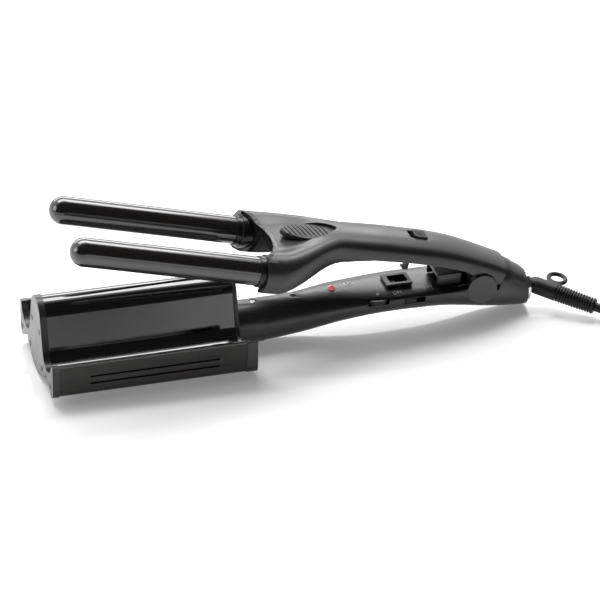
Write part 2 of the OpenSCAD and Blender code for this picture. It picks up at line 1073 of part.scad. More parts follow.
// Bezier between two points with a direction and reach at each end.
function bez(p, a, b, q, t) = pow(1 - t, 3) * p + 3 * t * pow(1 - t, 2) * a
  + 3 * t * t * (1 - t) * b + t * t * t * q;
function bez_d(p, a, b, q, t) = 3 * pow(1 - t, 2) * (a - p) + 6 * t * (1 - t) * (b - a)
  + 3 * t * t * (q - b);
cord_a = boot_at(boot_len + 16);
cord_b = coil_in - 22 * lead_way;
cord_end = coil_in;
cord_n = 14;

function cord_ring(t) = let (c = bez(cord_p, cord_a, cord_b, cord_end, t),
  d = bez_d(cord_p, cord_a, cord_b, cord_end, t), f = d / norm(d),
  s = [-f[1], f[0], 0] / norm([f[0], f[1]]), u = cross(f, s))
  [for (i = [0 : 11]) c + cord_r * (cos(30 * i) * s + sin(30 * i) * u)];

module cord() {
  color([0.05, 0.05, 0.05])
    loft([for (k = [0 : cord_n]) cord_ring(k / cord_n)]);
}

module cord_coil() {
  color([0.05, 0.05, 0.05])
    translate(coil_c)
      rotate_extrude()
        translate([coil_d / 2 - coil_w / 2, 0])
          difference() {
            square([coil_w, coil_h]);
            for (p = [[0, 0], [coil_w, 0], [0, coil_h], [coil_w, coil_h]])
              translate(p)
                rotate([0, 0, 45])
                  square([3, 3], center = true);
          }
}

plug_c = coil_c + (coil_r + cord_d / 4) * lead_way + 22 * lead_side + [0, 0, 7];

module at_plug() {
  translate(plug_c)
    rotate([0, 0, 90 - swivel_yaw])
      children();
}

module plug_body() {
  color([0.05, 0.05, 0.05])
    at_plug() {
      difference() {
        translate([14, -17.6, -6.9])
          cube([20, 35.2, 13.8]);
        for (s = [-1, 1])
          translate([12, s * 17.6, -8])
            rotate([0, 0, s * 45 - 45])
              translate([-6, -6, 0])
                cube([12, 12, 16]);
      }
      rod_x(0, 16, 5);
    }
}

module plug_pins() {
  color([0.8, 0.8, 0.8])
    at_plug()
      for (s = [-1, 1])
        translate([0, s * 9.3, 0]) {
          rod_x(34, 51, 2);
          translate([51, 0, 0])
            sphere(r = 2);
        }
}

wave_plate();
jaw_casing();
front_cap();
rear_cap();
cap_screws();
plate_carrier();
plate_heater();
thermal_fuse();
rest_foot();
neck();
neck_screws();
handle_tray();
handle_cover();
latch_socket();
led_lamp();
circuit_board();
power_switch();
dial_axle();
rear_housing();
hinge_block();
rear_cover();
chrome_ring();
hinge_pin();
arm_spring();
arm_shell();
yoke_face();
arm_liner();
thumb_pad();
near_barrel();
far_barrel();
near_collar();
far_collar();
near_heater();
far_heater();
arm_screws();
lock_slider();
power_slider();
temp_dial();
cord_swivel();
cord_boot();
hang_loop();
cord();
cord_coil();
plug_body();
plug_pins();
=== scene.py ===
"""Looks of the hair waver: rounded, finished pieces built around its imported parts."""

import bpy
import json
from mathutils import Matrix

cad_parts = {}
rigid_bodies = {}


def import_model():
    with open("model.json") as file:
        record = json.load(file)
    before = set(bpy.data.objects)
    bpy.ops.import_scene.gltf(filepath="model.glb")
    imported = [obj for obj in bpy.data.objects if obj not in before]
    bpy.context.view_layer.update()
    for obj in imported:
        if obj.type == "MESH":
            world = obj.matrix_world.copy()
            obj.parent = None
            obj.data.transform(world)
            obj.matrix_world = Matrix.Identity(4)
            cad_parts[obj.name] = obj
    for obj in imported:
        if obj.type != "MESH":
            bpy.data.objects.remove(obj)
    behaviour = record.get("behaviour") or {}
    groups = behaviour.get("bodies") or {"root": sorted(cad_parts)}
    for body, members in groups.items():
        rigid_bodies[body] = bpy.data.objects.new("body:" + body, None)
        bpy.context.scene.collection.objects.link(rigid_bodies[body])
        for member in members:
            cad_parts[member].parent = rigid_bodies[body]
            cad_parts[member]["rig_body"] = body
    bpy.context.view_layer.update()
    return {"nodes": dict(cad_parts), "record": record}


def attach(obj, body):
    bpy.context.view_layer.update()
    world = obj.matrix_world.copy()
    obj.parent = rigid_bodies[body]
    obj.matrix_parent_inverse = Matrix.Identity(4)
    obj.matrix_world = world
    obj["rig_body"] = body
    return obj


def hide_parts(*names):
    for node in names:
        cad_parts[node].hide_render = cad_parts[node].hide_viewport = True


bl_info = {
    "name": "Hair Waver",
    "version": (1, 0, 0),
    "blender": (4, 5, 0),
    "location": "3D View > Sidebar > Hair Waver",
    "description": "Builds the finished pieces of a hair waver around its packed parts",
    "category": "Object",
}

import json
from math import acos, asin, cos, degrees, pi, radians, sin, sqrt

import bmesh
import bpy
from bpy.props import FloatProperty, FloatVectorProperty, PointerProperty
from mathutils import Matrix, Vector
from mathutils.bvhtree import BVHTree

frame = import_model()
NODES = frame["nodes"]
SLOT_OF = {part["node"]: part["material_slot"] for part in frame["record"]["subparts"]}
MM = 0.001

# ---- frames, in millimetres ----------------------------------------------------------
TILT = 0.43
GROUND = 54.4
FOOT_X = 11
PIVOT = (299.5, 0, -26.3)
OPEN_ANGLE = 14.72
BALL = (335.6, 0, -35)
BALL_DIP = 8.5
SWIVEL_YAW = 40


def turn(axis, angle):
    return Matrix.Rotation(radians(angle), 4, axis)


def shift(x, y, z):
    return Matrix.Translation((x, y, z))


FOOT_SHIFT = FOOT_X * cos(radians(TILT)) - GROUND * sin(radians(TILT))
ROW = Matrix.Scale(MM, 4)
JAW = ROW @ shift(-FOOT_SHIFT, 0, GROUND) @ turn("Y", TILT)
ARM = JAW @ shift(*PIVOT) @ turn("Y", OPEN_ANGLE) @ shift(-PIVOT[0], 0, -PIVOT[2])
SWIVEL = JAW @ shift(*BALL) @ turn("Z", -SWIVEL_YAW) @ turn("Y", BALL_DIP)


# ---- sizes and colours ---------------------------------------------------------------
def length(name, value, description):
    return FloatProperty(
        name=name, description=description, default=value * MM, min=0, unit="LENGTH", precision=5
    )


def colour(name, value, description):
    return FloatVectorProperty(
        name=name, description=description, default=value, min=0, max=1, subtype="COLOR", size=3
    )


class WaverSizes(bpy.types.PropertyGroup):
    """Sizes of the pieces that are modelled anew."""

    half_pitch: length("Half pitch", 29, "From the middle plane to each trough and barrel")
    ridge_r: length("Ridge radius", 12.5, "Radius of the plate's middle ridge")
    trough_r: length("Trough radius", 11.3, "Radius of the plate's troughs")
    trough_drop: length("Trough depth", 37.9, "Depth of the troughs below the ridge")
    lip_drop: length("Lip depth", 26.2, "Depth of the outer lips below the ridge")
    lip_y: length("Lip distance", 44, "From the middle plane to the inside of a lip")
    side_y: length("Side distance", 46.5, "From the middle plane to the casing's side")
    plate_t: length("Plate thickness", 1.2, "Thickness of the pressed plate")
    plate_front: length("Plate front", 4.5, "Front end of the plate behind the cap's face")
    plate_back: length("Plate back", 129, "Rear end of the plate behind the cap's face")
    barrel_r: length("Barrel radius", 9.5, "Radius of a heated barrel")
    barrel_front: length("Barrel front", 7.3, "Front end of the barrels, arm closed")
    barrel_back: length("Barrel back", 146, "Rear end of the barrels, arm closed")
    barrel_drop: length("Barrel drop", 26.4, "Depth of the barrel axes below the ridge, arm closed")
    collar_r: length("Collar radius", 10.9, "Radius of the insulating collars")
    cord_d: length("Cord diameter", 6.2, "Diameter of the mains cord")
    cord_length: length("Cord length", 1800, "Length of the mains cord up to its plug")
    coil_d: length("Coil diameter", 78, "Mean diameter of the wound cord")
    boot_length: length("Strain relief", 52, "From the swivel's centre to the strain relief's end")
    boot_r: length("Strain relief radius", 5.9, "Radius of the strain relief at the swivel")


class WaverColours(bpy.types.PropertyGroup):
    """Colours of the finishes."""

    coating: colour("Coating", (0.005, 0.0045, 0.0045), "Gloss coating of the plate")
    barrel: colour("Barrels", (0.014, 0.0115, 0.011), "Speckled gloss coating of the barrels")
    casing: colour("Casing", (0.022, 0.019, 0.0175), "Matte casing under the plate")
    cap: colour("End caps", (0.03, 0.029, 0.0285), "Satin end caps of the jaw")
    handle: colour("Handle", (0.019, 0.018, 0.018), "Satin handle and arm")
    collar: colour("Collars", (0.008, 0.008, 0.008), "Gloss heat-proof collars")
    pad: colour("Thumb pad", (0.036, 0.035, 0.034), "Ribbed thumb pad")
    control: colour("Controls", (0.014, 0.014, 0.014), "Dial, slider and lock button")
    rubber: colour("Rubber", (0.012, 0.012, 0.012), "Cord, strain relief and foot")
    lamp: colour("Lamp", (0.85, 0.17, 0.2), "Lamp lens")
    print: colour("Lettering", (0.8, 0.79, 0.78), "Printed words on the handle")


def mm(value):
    """A length property, kept in metres, in millimetres."""
    return value / MM


# ---- mesh helpers --------------------------------------------------------------------
def lathe(profile, steps=64, closed=False):
    """A chain of (x, radius) points turned about X."""
    bm = bmesh.new()
    verts = [bm.verts.new((x, 0, r)) for x, r in profile]
    edges = [bm.edges.new(pair) for pair in zip(verts, verts[1:])]
    if closed:
        edges.append(bm.edges.new((verts[-1], verts[0])))
    bmesh.ops.spin(
        bm, geom=verts + edges, cent=(0, 0, 0), axis=(1, 0, 0), angle=2 * pi,
        steps=steps, use_merge=True,
    )
    tidy(bm)
    return bm


def tidy(bm):
    """Joins vertices at the same place and turns the faces outward."""
    bmesh.ops.remove_doubles(bm, verts=bm.verts, dist=1e-4)
    bmesh.ops.recalc_face_normals(bm, faces=bm.faces)


def soften(bm, offset, segments=3, angle=30):
    """Rounds the edges that are sharper than angle."""
    sharp = [e for e in bm.edges if e.is_manifold and e.calc_face_angle(0) > radians(angle)]
    bmesh.ops.bevel(
        bm, geom=sharp, offset=offset, segments=segments, profile=0.5,
        affect="EDGES", material=-1, clamp_overlap=True,
    )


def arc(start, end, centre, radius, steps):
    """Points of (x, radius) along a circle, from one angle to another in degrees."""
    angles = [radians(start + (end - start) * i / steps) for i in range(steps + 1)]
    return [(centre[0] + radius * cos(a), centre[1] + radius * sin(a)) for a in angles]


def merge_into(bm, other):
    """Adds another bmesh to this one and frees it."""
    mesh = bpy.data.meshes.new("merge")
    other.to_mesh(mesh)
    other.free()
    bm.from_mesh(mesh)
    bpy.data.meshes.remove(mesh)


def stand_up(bm):
    """Turns what was made along X so that it points up."""
    bmesh.ops.rotate(bm, cent=(0, 0, 0), matrix=Matrix.Rotation(-pi / 2, 3, "Y"), verts=bm.verts)
    return bm


def add_piece(name, bm, place, body, slot, stands_for=(), crease=35):
    """Puts a finished bmesh in the scene, on a body, in place of CAD nodes."""
    bmesh.ops.transform(bm, matrix=place, verts=bm.verts)
    mesh = bpy.data.meshes.new(name)
    bm.to_mesh(mesh)
    bm.free()
    return dress(name, mesh, body, slot, stands_for, crease)


def dress(name, mesh, body, slot, stands_for, crease):
    """Gives a mesh its finish and makes it a piece on a body."""
    mesh.materials.clear()
    mesh.materials.append(finish(slot))
    mesh.shade_smooth()
    mesh.set_sharp_from_angle(angle=radians(crease))
    obj = bpy.data.objects.new(name, mesh)
    bpy.context.scene.collection.objects.link(obj)
    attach(obj, body)
    if stands_for:
        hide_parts(*stands_for)
    return obj


def cad_copy(node, flat=0.4):
    """A CAD node's shape as a bmesh in metres, its triangles joined into faces."""
    bm = bmesh.new()
    bm.from_mesh(NODES[node].data)
    bmesh.ops.remove_doubles(bm, verts=bm.verts, dist=2e-6)
    bmesh.ops.dissolve_limit(
        bm, angle_limit=radians(flat), verts=bm.verts, edges=bm.edges,
        use_dissolve_boundaries=False,
    )
    return bm


def refined(node, edge, segments, crease, slot=None):
    """A CAD node's shape with its sharp edges rounded by edge millimetres."""
    name, body, slot = node + "_shell", NODES[node]["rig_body"], slot or SLOT_OF[node]
    bm = cad_copy(node)
    mesh = bpy.data.meshes.new(name)
    bm.to_mesh(mesh)
    bm.free()
    obj = dress(name, mesh, body, slot, [node], crease)
    rounding = obj.modifiers.new("Rounding", "BEVEL")
    rounding.width = edge * MM
    rounding.segments = segments
    rounding.limit_method = "ANGLE"
    rounding.angle_limit = radians(crease)
    rounding.harden_normals = True
    rounding.miter_outer = "MITER_ARC"


def surface_of(node):
    """A CAD node's surface, to cast rays at."""
    bm = cad_copy(node, 0.1)
    tree = BVHTree.FromBMesh(bm)
    bm.free()
    return tree


# ---- shader helpers ------------------------------------------------------------------
def add_node(tree, kind, inputs=None, **settings):
    node = tree.nodes.new(kind)
    for key, value in settings.items():
        setattr(node, key, value)
    for key, value in (inputs or {}).items():
        node.inputs[key].default_value = value
    return node


def join(tree, source, out, target, into):
    tree.links.new(source.outputs[out], target.inputs[into])


def new_group(name, inputs, outputs):
    group = bpy.data.node_groups.new(name, "ShaderNodeTree")
    for label, kind in inputs:
        group.interface.new_socket(name=label, in_out="INPUT", socket_type=kind)
    for label, kind in outputs:
        group.interface.new_socket(name=label, in_out="OUTPUT", socket_type=kind)
    return group, group.nodes.new("NodeGroupInput"), group.nodes.new("NodeGroupOutput")


def moulded_grain_group():
    """Fine moulding grain as a height, and a slow change of tone."""
    name = "Moulded Grain"
    if name in bpy.data.node_groups:
        return bpy.data.node_groups[name]
    group, source, sink = new_group(
        name,
        [("Vector", "NodeSocketVector"), ("Scale", "NodeSocketFloat"),
         ("Tone Scale", "NodeSocketFloat")],
        [("Height", "NodeSocketFloat"), ("Tone", "NodeSocketFloat")],
    )
    fine = add_node(group, "ShaderNodeTexNoise", {"Detail": 3, "Roughness": 0.6})
    cells = add_node(group, "ShaderNodeTexVoronoi", {"Randomness": 1})
    slow = add_node(group, "ShaderNodeTexNoise", {"Detail": 2, "Roughness": 0.5})
    blend = add_node(group, "ShaderNodeMath", operation="ADD")
    for texture in (fine, cells, slow):
        join(group, source, "Vector", texture, "Vector")
    join(group, source, "Scale", fine, "Scale")
    join(group, source, "Scale", cells, "Scale")
    join(group, source, "Tone Scale", slow, "Scale")
    join(group, fine, "Fac", blend, 0)
    join(group, cells, "Distance", blend, 1)
    join(group, blend, 0, sink, "Height")
    join(group, slow, "Fac", sink, "Tone")
    return group


def handling_group():
    """Faint smears and rubbed spots, as a change of roughness."""
    name = "Handling Marks"
    if name in bpy.data.node_groups:
        return bpy.data.node_groups[name]
    group, source, sink = new_group(
        name,
        [("Vector", "NodeSocketVector"), ("Scale", "NodeSocketFloat"),
         ("Low", "NodeSocketFloat"), ("High", "NodeSocketFloat")],
        [("Roughness", "NodeSocketFloat")],
    )
    smear = add_node(
        group, "ShaderNodeTexNoise", {"Detail": 4, "Roughness": 0.55, "Distortion": 0.6}
    )
    spread = add_node(group, "ShaderNodeMapRange", {"From Min": 0.3, "From Max": 0.7})
    join(group, source, "Vector", smear, "Vector")
    join(group, source, "Scale", smear, "Scale")
    join(group, smear, "Fac", spread, "Value")
    join(group, source, "Low", spread, "To Min")
    join(group, source, "High", spread, "To Max")
    join(group, spread, "Result", sink, "Roughness")
    return group


SMEAR_SCALE = 60


def grained(
    name, base, rough, grain=1500, bump=0.15, depth=0.02, tone=0.12, tone_scale=35, **shader
):
    """A finish with moulding grain, changes of tone and handling marks."""
    material = bpy.data.materials.new(name)
    material.use_nodes = True
    tree = material.node_tree
    principled = tree.nodes["Principled BSDF"]
    for key, value in shader.items():
        principled.inputs[key.replace("_", " ")].default_value = value
    place = add_node(tree, "ShaderNodeTexCoord")
    texture = add_node(tree, "ShaderNodeGroup", node_tree=moulded_grain_group())
    texture.inputs["Scale"].default_value = grain
    texture.inputs["Tone Scale"].default_value = tone_scale
    marks = add_node(tree, "ShaderNodeGroup", node_tree=handling_group())
    marks.inputs["Scale"].default_value = SMEAR_SCALE
    marks.inputs["Low"].default_value = rough[0]
    marks.inputs["High"].default_value = rough[1]
    shade = add_node(tree, "ShaderNodeMix", data_type="RGBA")
    shade.inputs["A"].default_value = [c * (1 - tone) for c in base] + [1]
    shade.inputs["B"].default_value = [min(1, c * (1 + tone)) for c in base] + [1]
    relief = add_node(tree, "ShaderNodeBump", {"Strength": bump, "Distance": depth * MM})
    join(tree, place, "Object", texture, "Vector")
    join(tree, place, "Object", marks, "Vector")
    join(tree, texture, "Tone", shade, "Factor")
    join(tree, shade, "Result", principled, "Base Color")
    join(tree, marks, "Roughness", principled, "Roughness")
    join(tree, texture, "Height", relief, "Height")
    join(tree, relief, "Normal", principled, "Normal")
    return material


def finish(slot):
    """The material of a record slot, made once."""
    name = slot + "_finish"
    if name in bpy.data.materials:
        return bpy.data.materials[name]
    c = bpy.context.scene.waver_colours
    metal = {"Metallic": 1.0}
    recipes = {
        "plate_black": (c.coating, (0.08, 0.14), dict(
            grain=900, bump=0.02, Specular_IOR_Level=1.0, Coat_Weight=0.5, Coat_Roughness=0.06,
        )),
        "barrel_black": (c.barrel, (0.12, 0.2), dict(
            grain=1300, bump=0.04, depth=0.03, tone=0.9, tone_scale=1100,
            Specular_IOR_Level=1.0, Coat_Weight=0.6, Coat_Roughness=0.1,
        )),
        "casing_grey": (c.casing, (0.34, 0.46), dict(grain=1600, bump=0.2, Specular_IOR_Level=0.5)),
        "cap_black": (c.cap, (0.3, 0.36), dict(grain=2600, bump=0.008, Specular_IOR_Level=0.6)),
        "handle_black": (c.handle, (0.3, 0.38), dict(
            grain=2200, bump=0.12, Specular_IOR_Level=0.8,
        )),
        "collar_black": (c.collar, (0.2, 0.3), dict(bump=0.08)),
        "pad_black": (c.pad, (0.42, 0.55), dict(grain=2000, bump=0.3)),
        "control_black": (c.control, (0.35, 0.48), dict(grain=2200, bump=0.25)),
        "lamp_red": (c.lamp, (0.12, 0.2), dict(
            grain=600, bump=0.03, Coat_Weight=0.6,
            Emission_Color=(1, 0.25, 0.3, 1), Emission_Strength=0.3,
        )),
        "screw_steel": ((0.62, 0.62, 0.63), (0.18, 0.34), dict(grain=2500, **metal)),
        "spring_steel": ((0.5, 0.5, 0.52), (0.25, 0.4), dict(grain=2500, **metal)),
        "pin_steel": ((0.55, 0.55, 0.57), (0.2, 0.3), dict(grain=2500, bump=0.1, **metal)),
        "carrier_steel": ((0.6, 0.6, 0.6), (0.3, 0.45), dict(bump=0.2, **metal)),
        "heater_white": ((0.8, 0.78, 0.74), (0.6, 0.75), dict(grain=1200, bump=0.3)),
        "board_green": ((0.03, 0.16, 0.06), (0.3, 0.4), dict(grain=800, bump=0.1)),
        "ring_chrome": ((0.82, 0.82, 0.83), (0.07, 0.14), dict(bump=0.03, tone=0.05, **metal)),
        "foot_rubber": (c.rubber, (0.6, 0.75), dict(bump=0.4)),
        "cord_rubber": (c.rubber, (0.36, 0.5), dict(bump=0.3, Specular_IOR_Level=0.4)),
        "pin_brass": ((0.75, 0.62, 0.35), (0.2, 0.32), dict(grain=2500, bump=0.1, **metal)),
        "print_white": (c.print, (0.5, 0.6), dict(grain=2500, bump=0.1)),
    }
    base, rough, rest = recipes[slot]
    return grained(name, tuple(base), rough, **rest)


# ---- stage ---------------------------------------------------------------------------
CAMERA_PLACE = Vector((-0.41540, -1.90570, 1.16137))
CAMERA_TARGET = Vector((0.16777, 0, 0.02569))
CAMERA_ROLL = 0.7461
PICTURE_WIDTH = 600
FOCAL_PIXELS = 3470.66
SENSOR = 36
ROOM_LEVEL = 0.04
FILL_LEVEL = 0.8
FLOOR_GLOW = 0.2


def camera_matrix():
    back = (CAMERA_PLACE - CAMERA_TARGET).normalized()
    side = Vector((0, 0, 1)).cross(back).normalized()
    level = Matrix((side, back.cross(side), back)).transposed().to_4x4()
    return Matrix.Translation(CAMERA_PLACE) @ level @ turn("Z", CAMERA_ROLL)


def add_camera():
    data = bpy.data.cameras.new("Photograph")
    data.sensor_width = SENSOR
    data.lens = SENSOR * FOCAL_PIXELS / PICTURE_WIDTH
    data.clip_end = 30
    camera = bpy.data.objects.new("Photograph", data)
    camera.matrix_world = camera_matrix()
    bpy.context.scene.collection.objects.link(camera)
    bpy.context.scene.camera = camera


def add_softbox(name, place, aim, size, power):
    """A rectangular lamp that faces a point."""
    data = bpy.data.lights.new(name, "AREA")
    data.shape = "RECTANGLE"
    data.size, data.size_y = size
    data.energy = power
    lamp = bpy.data.objects.new(name, data)
    look = (Vector(place) - Vector(aim)).to_track_quat("Z", "Y")
    lamp.matrix_world = Matrix.Translation(place) @ look.to_matrix().to_4x4()
    bpy.context.scene.collection.objects.link(lamp)


def add_world():
    """A white backdrop and cove around the object and a dim room over it, white to the camera."""
    world = bpy.data.worlds.new("Studio")
    bpy.context.scene.world = world
    world.use_nodes = True
    tree = world.node_tree
    tree.nodes.clear()
    way = add_node(tree, "ShaderNodeTexCoord")
    split = add_node(tree, "ShaderNodeSeparateXYZ")
    behind = add_node(
        tree, "ShaderNodeMapRange",
        {"From Min": -0.02, "From Max": 0.2, "To Min": ROOM_LEVEL, "To Max": 1.0},
        interpolation_type="SMOOTHSTEP",
    )
    cove = add_node(
        tree, "ShaderNodeMapRange",
        {"From Min": 0.045, "From Max": 0.15, "To Min": 1.0, "To Max": ROOM_LEVEL},
        interpolation_type="SMOOTHSTEP",
    )
    room = add_node(tree, "ShaderNodeMath", operation="MAXIMUM")
    level = add_node(tree, "ShaderNodeMath", {1: FILL_LEVEL}, operation="MULTIPLY")
    path = add_node(tree, "ShaderNodeLightPath")
    mirrored = add_node(tree, "ShaderNodeMath", operation="MAXIMUM")
    unlit = add_node(tree, "ShaderNodeMix", data_type="FLOAT")
    seen = add_node(tree, "ShaderNodeMix", {"B": 1.0}, data_type="FLOAT")
    light = add_node(tree, "ShaderNodeBackground", {"Color": (1, 1, 1, 1)})
    out = add_node(tree, "ShaderNodeOutputWorld")
    join(tree, way, "Generated", split, "Vector")
    join(tree, split, "Y", behind, "Value")
    join(tree, split, "Z", cove, "Value")
    join(tree, behind, "Result", room, 0)
    join(tree, cove, "Result", room, 1)
    join(tree, room, 0, level, 0)
    join(tree, path, "Is Glossy Ray", mirrored, 0)
    join(tree, path, "Is Transmission Ray", mirrored, 1)
    join(tree, mirrored, 0, unlit, "Factor")
    join(tree, level, 0, unlit, "A")
    join(tree, room, 0, unlit, "B")
    join(tree, path, "Is Camera Ray", seen, "Factor")
    join(tree, unlit, "Result", seen, "A")
    join(tree, seen, "Result", light, "Strength")
    join(tree, light, 0, out, "Surface")


def floor_material():
    """Polished white acrylic, whiter to the camera and in reflections than to the lamps."""
    material = bpy.data.materials.new("floor_white")
    material.use_nodes = True
    tree = material.node_tree
    top = tree.nodes["Principled BSDF"]
    top.inputs["Specular IOR Level"].default_value = 0.5
    path = add_node(tree, "ShaderNodeLightPath")
    shade = add_node(tree, "ShaderNodeMix", data_type="RGBA")
    shade.inputs["A"].default_value = (0.8, 0.8, 0.8, 1)
    shade.inputs["B"].default_value = (1, 1, 1, 1)
    place = add_node(tree, "ShaderNodeTexCoord")
    marks = add_node(tree, "ShaderNodeGroup", node_tree=handling_group())
    marks.inputs["Scale"].default_value = 3
    marks.inputs["Low"].default_value = 0.06
    marks.inputs["High"].default_value = 0.1
    glow = add_node(tree, "ShaderNodeMath", {1: FLOOR_GLOW}, operation="MULTIPLY")
    top.inputs["Emission Color"].default_value = (1, 1, 1, 1)
    seen = add_node(tree, "ShaderNodeMath", operation="MAXIMUM")
    join(tree, path, "Is Camera Ray", seen, 0)
    join(tree, path, "Is Glossy Ray", seen, 1)
    join(tree, seen, 0, shade, "Factor")
    join(tree, seen, 0, glow, 0)
    join(tree, glow, 0, top, "Emission Strength")
    join(tree, shade, "Result", top, "Base Color")
    join(tree, place, "Object", marks, "Vector")
    join(tree, marks, "Roughness", top, "Roughness")
    return material


def add_floor():
    bm = bmesh.new()
    bmesh.ops.create_grid(bm, x_segments=8, y_segments=8, size=5)
    mesh = bpy.data.meshes.new("Floor")
    bm.to_mesh(mesh)
    bm.free()
    mesh.materials.append(floor_material())
    floor = bpy.data.objects.new("Floor", mesh)
    bpy.context.scene.collection.objects.link(floor)


LAMP_AIM = (0.16, 0, 0.05)
SOFTBOXES = [
    ("Top Box", (0.2, 0.64, 1.36), (1.7, 0.55), 19),
    ("Rear Strip", (0.2, 1.3, 0.65), (1.8, 0.25), 8),
    ("Left Box", (-1.5, 0.1, 0.7), (0.8, 0.8), 5),
]


class WAVER_OT_stage(bpy.types.Operator):
    """Add the camera, the softboxes and the white floor"""

    bl_idname = "waver.stage"
    bl_label = "Stage"

    def execute(self, context):
        context.scene.view_settings.view_transform = "Standard"
        add_camera()
        add_world()
        add_floor()
        for name, place, size, power in SOFTBOXES:
            add_softbox(name, place, LAMP_AIM, size, power)
        return {"FINISHED"}


# ---- cord ----------------------------------------------------------------------------
CORD_INSET = 1.5
CORD_REACH = 16
CORD_LAY = 22
CORD_STEPS = 16
CORD_RUN = 52
CORD_LIE = 3.15
LAYER = 6.25
COIL_TURNS = 3
COIL_END = 0.25
COIL_EASE = 4.5
POINTS_PER_TURN = 20
TAIL = [(6, 9.4), (12, 9.3), (17, 8.5), (22, 7.45), (28, 7), (33, 7)]
PLUG_RUN = 22
PLUG_HEIGHT = 7
LEAD_WAY = Vector((cos(radians(SWIVEL_YAW)), -sin(radians(SWIVEL_YAW)), 0))
LEAD_SIDE = Vector((sin(radians(SWIVEL_YAW)), cos(radians(SWIVEL_YAW)), 0))


def smooth(f):
    f = min(1, max(0, f))
    return f * f * (3 - 2 * f)


def boot_point(distance):
    """A point on the strain relief's axis, in millimetres of the row frame."""
    return (SWIVEL @ Vector((distance, 0, 0))) / MM


def bezier(p, a, b, q, t):
    return p * (1 - t) ** 3 + a * 3 * t * (1 - t) ** 2 + b * 3 * t * t * (1 - t) + q * t**3


def coil_entry(sizes):
    """Where the cord joins the coil, lying on the floor."""
    end = boot_point(mm(sizes.boot_length) - CORD_INSET)
    return Vector((end.x, end.y, CORD_LIE)) + CORD_RUN * LEAD_WAY


def coil_centre(sizes):
    entry = coil_entry(sizes)
    return Vector((entry.x, entry.y, 0)) + coil_outer(sizes) * LEAD_SIDE


def coil_outer(sizes):
    """Radius of the coil's outermost turn."""
    return mm(sizes.coil_d) / 2 + 1.5 * mm(sizes.cord_d)


def coil_exit(sizes):
    """Where the cord leaves the coil's upper layer, a quarter turn past its entry."""
    return coil_centre(sizes) + (coil_outer(sizes) + COIL_END * mm(sizes.cord_d)) * LEAD_WAY


def cord_route(sizes):
    """The cord's points: out of the strain relief, the coil in two layers, the plug."""
    cord_d = mm(sizes.cord_d)
    boot_end = mm(sizes.boot_length)
    start, entry = boot_point(boot_end - CORD_INSET), coil_entry(sizes)
    reach, lay = boot_point(boot_end + CORD_REACH), entry - CORD_LAY * LEAD_WAY
    points = [bezier(start, reach, lay, entry, i / CORD_STEPS) for i in range(CORD_STEPS)]
    outer, centre = coil_outer(sizes), coil_centre(sizes)
    inner = outer - COIL_TURNS * cord_d
    first = -90 - SWIVEL_YAW
    last = 2 * COIL_TURNS + 1 + COIL_END
    for i in range(int(last * POINTS_PER_TURN) + 1):
        turns = i / POINTS_PER_TURN
        if turns < COIL_TURNS:
            radius, height = outer - turns * cord_d, CORD_LIE
        elif turns < COIL_TURNS + 1:
            f = turns - COIL_TURNS
            radius = inner - COIL_EASE * sin(pi * f)
            height = CORD_LIE + LAYER * smooth(f / 0.6)
        else:
            radius = inner + (turns - COIL_TURNS - 1) * cord_d
            height = CORD_LIE + LAYER
        angle = radians(first + 360 * turns)
        points.append(centre + Vector((radius * cos(angle), radius * sin(angle), height)))
    exit_at = coil_exit(sizes)
    points += [Vector((exit_at.x, exit_at.y, z)) + s * LEAD_SIDE for s, z in TAIL]
    return points


def add_cord(sizes):
    data = bpy.data.curves.new("mains_cord", "CURVE")
    data.dimensions = "3D"
    data.bevel_depth = sizes.cord_d / 2
    data.bevel_resolution = 5
    data.resolution_u = 4
    data.use_fill_caps = True
    route = cord_route(sizes)
    spline = data.splines.new("BEZIER")
    spline.bezier_points.add(len(route) - 1)
    for knot, point in zip(spline.bezier_points, route):
        knot.co = point * MM
        knot.handle_left_type = knot.handle_right_type = "AUTO"
    data.materials.append(finish("cord_rubber"))
    cord = bpy.data.objects.new("mains_cord", data)
    bpy.context.scene.collection.objects.link(cord)
    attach(cord, "lower_body")
    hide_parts("cord", "cord_coil")


def plug_frame(sizes):
    at = coil_exit(sizes) + PLUG_RUN * LEAD_SIDE + Vector((0, 0, PLUG_HEIGHT))
    return ROW @ Matrix.Translation(at) @ turn("Z", 90 - SWIVEL_YAW)


PLUG_SIZE = (20, 35.2, 13.8)
PLUG_MIDDLE = 24
PLUG_WAIST = (1, 0.52, 0.86)
PLUG_EDGE = 3.2
SLEEVE_RINGS = 5
SLEEVE_PITCH = 2.6
SLEEVE_GROWTH = 0.16
PIN_R = 2
PIN_X = (33, 51)
PIN_Y = 9.3


def plug_body_mesh():
    """A flat two-pin plug: a rounded block drawn in to a waist, with a ringed sleeve."""
    bm = bmesh.new()
    bmesh.ops.create_cube(bm, size=1)
    bmesh.ops.scale(bm, vec=PLUG_SIZE, verts=bm.verts)
    bmesh.ops.translate(bm, vec=(PLUG_MIDDLE, 0, 0), verts=bm.verts)
    back = [v for v in bm.verts if v.co.x < PLUG_MIDDLE]
    bmesh.ops.scale(bm, vec=PLUG_WAIST, verts=back)
    soften(bm, PLUG_EDGE, 5, 20)
    sleeve = [(-1, 0), (-1, 3.9)]
    for i in range(SLEEVE_RINGS):
        x, more = 0.5 + SLEEVE_PITCH * i, SLEEVE_GROWTH * i
        sleeve += [(x, 4.1 + more), (x + 1.5, 4.2 + more)]
        sleeve += [(x + 1.6, 3.5 + more), (x + 2.5, 3.5 + more)]
    sleeve += [(16, 5), (18, 5), (18, 0)]
    relief = lathe(sleeve, 40)
    soften(relief, 0.2, 2, 40)
    merge_into(bm, relief)
    return bm


